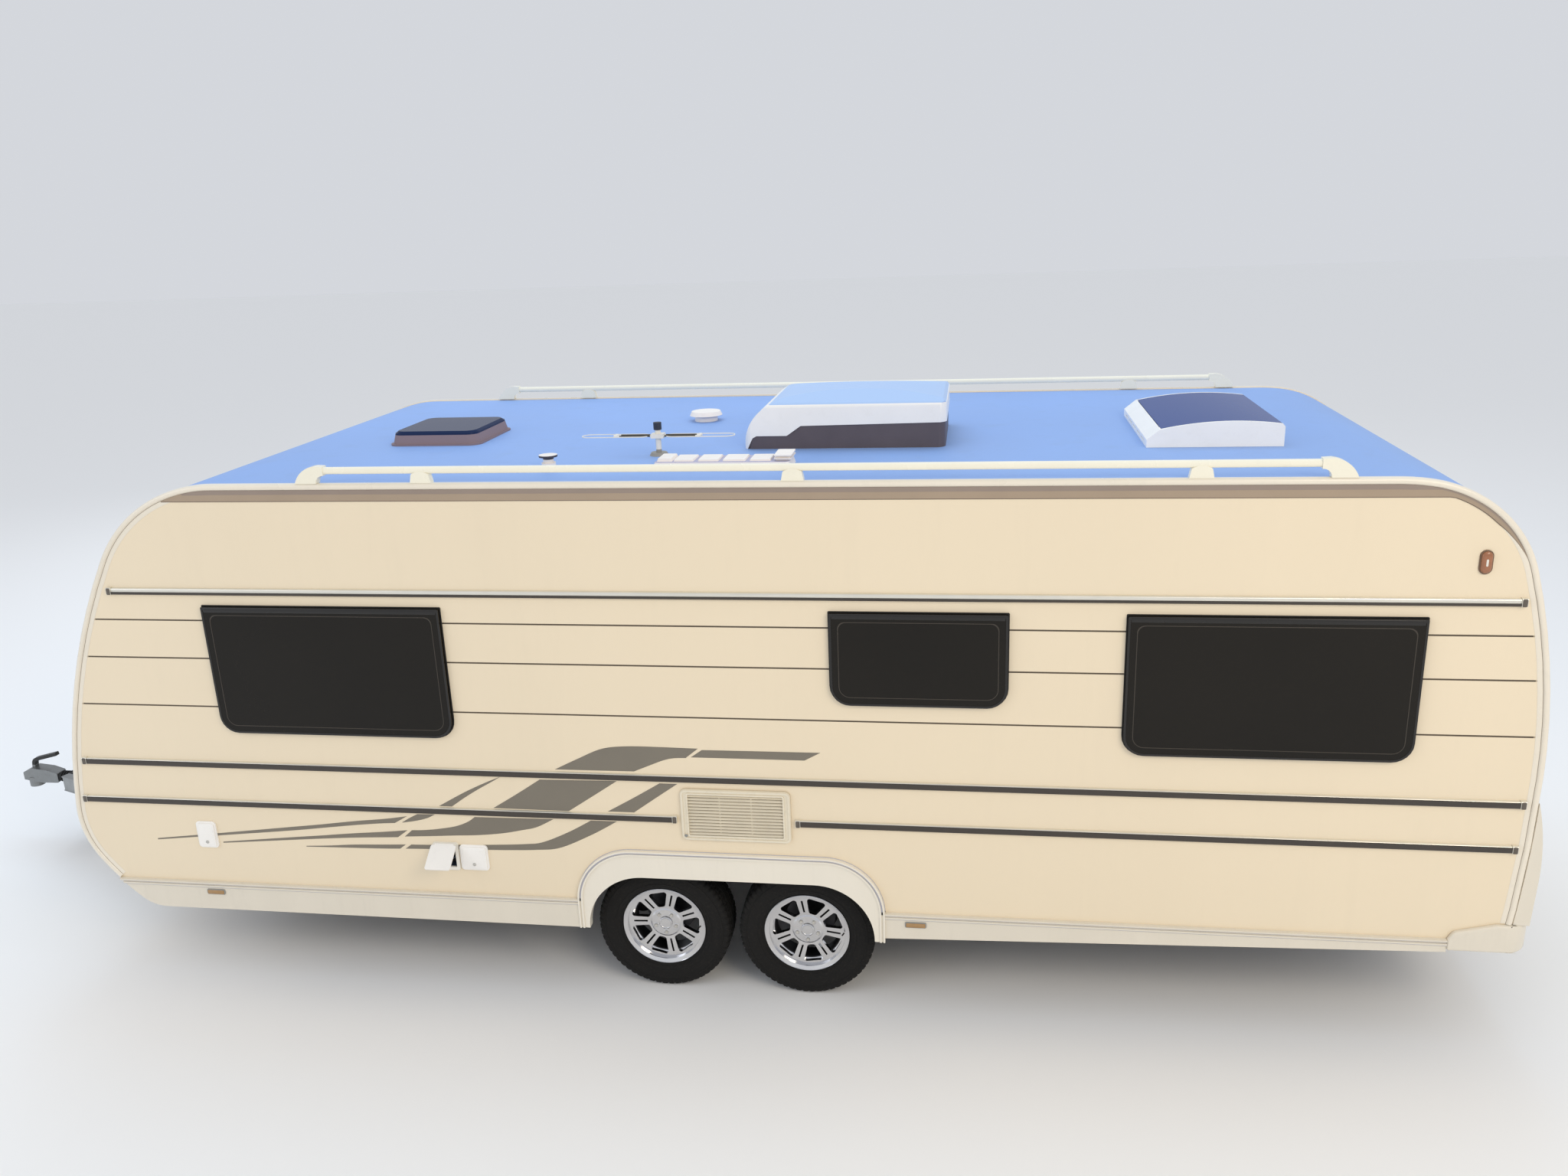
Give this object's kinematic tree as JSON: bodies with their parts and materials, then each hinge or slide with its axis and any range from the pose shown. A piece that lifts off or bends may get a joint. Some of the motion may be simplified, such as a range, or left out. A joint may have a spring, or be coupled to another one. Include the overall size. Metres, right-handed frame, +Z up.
{
  "type": "travel caravan",
  "caption": "Twin-axle touring caravan with a hollow cabin, side door, locker lids, turning wheels, corner steadies and a drawbar standing on its jockey wheel.",
  "frame": {"origin": "on the ground, at the middle of the overall length and of the body's width", "axes": "+X rearward, +Y to the caravan's right-hand side, +Z up"},
  "size_m": [8.12, 2.6495, 2.77],
  "materials": {
    "body_white": "gloss",
    "roof_white": "satin",
    "trim_taupe": "satin",
    "skirt_white": "satin",
    "bright_rail": "satin",
    "dark_plastic": "matte",
    "grille_grey": "satin",
    "dark_acrylic": "gloss",
    "floor_board": "matte",
    "galvanised": "satin",
    "axle_black": "matte",
    "tyre_rubber": "matte",
    "alloy": "polished",
    "lamp_red": "gloss"
  },
  "bodies": {
    "caravan": {"chassis_beams": "galvanised", "drawbar_legs": "galvanised", "cross_members": "galvanised", "drawbar_fittings": "galvanised", "axles": "axle_black", "coupling_head": "axle_black", "drawbar_cover": "body_white", "floor_panel": "floor_board", "wall_left": "body_white", "wall_right": "body_white", "wall_front": "body_white", "wall_rear": "body_white", "roof_panel": "roof_white", "locker_boxes": "floor_board", "wheel_housings": "dark_plastic", "edge_trims": "trim_taupe", "rear_bumper": "skirt_white", "skirts": "skirt_white", "wheel_arch_spats": "skirt_white", "windows": "dark_acrylic", "decor_rails": "bright_rail", "fridge_grille": "grille_grey", "power_inlet": "skirt_white", "service_covers": "skirt_white", "roof_rails": "bright_rail", "air_conditioner_base": "dark_plastic", "air_conditioner_shell": "roof_white", "fridge_roof_vent": "roof_white", "roof_vents": "roof_white", "antenna": "dark_plastic", "rooflight_frame": "roof_white", "rooflight_domes": "dark_acrylic", "lamp_carriers": "skirt_white", "lamps": "lamp_red"},
    "door": {"entry_door": "body_white", "door_window": "dark_acrylic"},
    "cassette_hatch": {"cassette_hatch": "body_white"},
    "gas_locker_lid": {"gas_locker_lid": "body_white"},
    "inlet_lid": {"inlet_lid": "skirt_white"},
    "wheel_front_left": {"tyre_front_left": "tyre_rubber", "rim_front_left": "alloy"},
    "wheel_front_right": {"tyre_front_right": "tyre_rubber", "rim_front_right": "alloy"},
    "wheel_rear_left": {"tyre_rear_left": "tyre_rubber", "rim_rear_left": "alloy"},
    "wheel_rear_right": {"tyre_rear_right": "tyre_rubber", "rim_rear_right": "alloy"},
    "steady_front_left": {"steady_front_left": "galvanised"},
    "steady_front_right": {"steady_front_right": "galvanised"},
    "steady_rear_left": {"steady_rear_left": "galvanised"},
    "steady_rear_right": {"steady_rear_right": "galvanised"},
    "jockey_slider": {"jockey_tube": "galvanised"},
    "jockey_swivel": {"jockey_fork": "galvanised"},
    "jockey_roller": {"jockey_wheel": "tyre_rubber"}
  },
  "joints": [
    {"name": "wheel_front_left_spin", "type": "hinge", "parent": "caravan", "child": "wheel_front_left", "pos_m": [0.259, -1.07, 0.325], "axis": [0, 1, 0], "continuous": true},
    {"name": "wheel_front_right_spin", "type": "hinge", "parent": "caravan", "child": "wheel_front_right", "pos_m": [0.259, 1.07, 0.325], "axis": [0, 1, 0], "continuous": true},
    {"name": "wheel_rear_left_spin", "type": "hinge", "parent": "caravan", "child": "wheel_rear_left", "pos_m": [0.951, -1.07, 0.325], "axis": [0, 1, 0], "continuous": true},
    {"name": "wheel_rear_right_spin", "type": "hinge", "parent": "caravan", "child": "wheel_rear_right", "pos_m": [0.951, 1.07, 0.325], "axis": [0, 1, 0], "continuous": true},
    {"name": "steady_front_left_pivot", "type": "hinge", "parent": "caravan", "child": "steady_front_left", "pos_m": [-1.668, -0.78, 0.342], "axis": [0, -1, 0], "range_deg": [0, 45]},
    {"name": "steady_front_right_pivot", "type": "hinge", "parent": "caravan", "child": "steady_front_right", "pos_m": [-1.668, 0.78, 0.342], "axis": [0, -1, 0], "range_deg": [0, 45]},
    {"name": "steady_rear_left_pivot", "type": "hinge", "parent": "caravan", "child": "steady_rear_left", "pos_m": [3.281, -0.78, 0.342], "axis": [0, 1, 0], "range_deg": [0, 45]},
    {"name": "steady_rear_right_pivot", "type": "hinge", "parent": "caravan", "child": "steady_rear_right", "pos_m": [3.281, 0.78, 0.342], "axis": [0, 1, 0], "range_deg": [0, 45]},
    {"name": "jockey_slide", "type": "slide", "parent": "caravan", "child": "jockey_slider", "axis": [0, 0, 1], "range_m": [0, 0.125]},
    {"name": "jockey_swivel_turn", "type": "hinge", "parent": "jockey_slider", "child": "jockey_swivel", "pos_m": [-3.69, 0.16, 0.23], "axis": [0, 0, 1], "continuous": true},
    {"name": "jockey_wheel_spin", "type": "hinge", "parent": "jockey_swivel", "child": "jockey_roller", "pos_m": [-3.65, 0.16, 0.1], "axis": [0, 1, 0], "continuous": true},
    {"name": "door_hinge", "type": "hinge", "parent": "caravan", "child": "door", "pos_m": [-0.972, 1.262, 1.4], "axis": [0, 0, 1], "range_deg": [0, 150]},
    {"name": "cassette_hatch_hinge", "type": "hinge", "parent": "caravan", "child": "cassette_hatch", "pos_m": [2.172, 1.262, 0.894], "axis": [1, 0, 0], "range_deg": [0, 100]},
    {"name": "gas_locker_hinge", "type": "hinge", "parent": "caravan", "child": "gas_locker_lid", "pos_m": [-2.66631, 0, 1.004], "axis": [0, 1, 0], "range_deg": [0, 80]},
    {"name": "inlet_lid_hinge", "type": "hinge", "parent": "caravan", "child": "inlet_lid", "pos_m": [-0.753, -1.2653, 0.784], "axis": [-1, 0, 0], "range_deg": [-54, 40]}
  ]
}
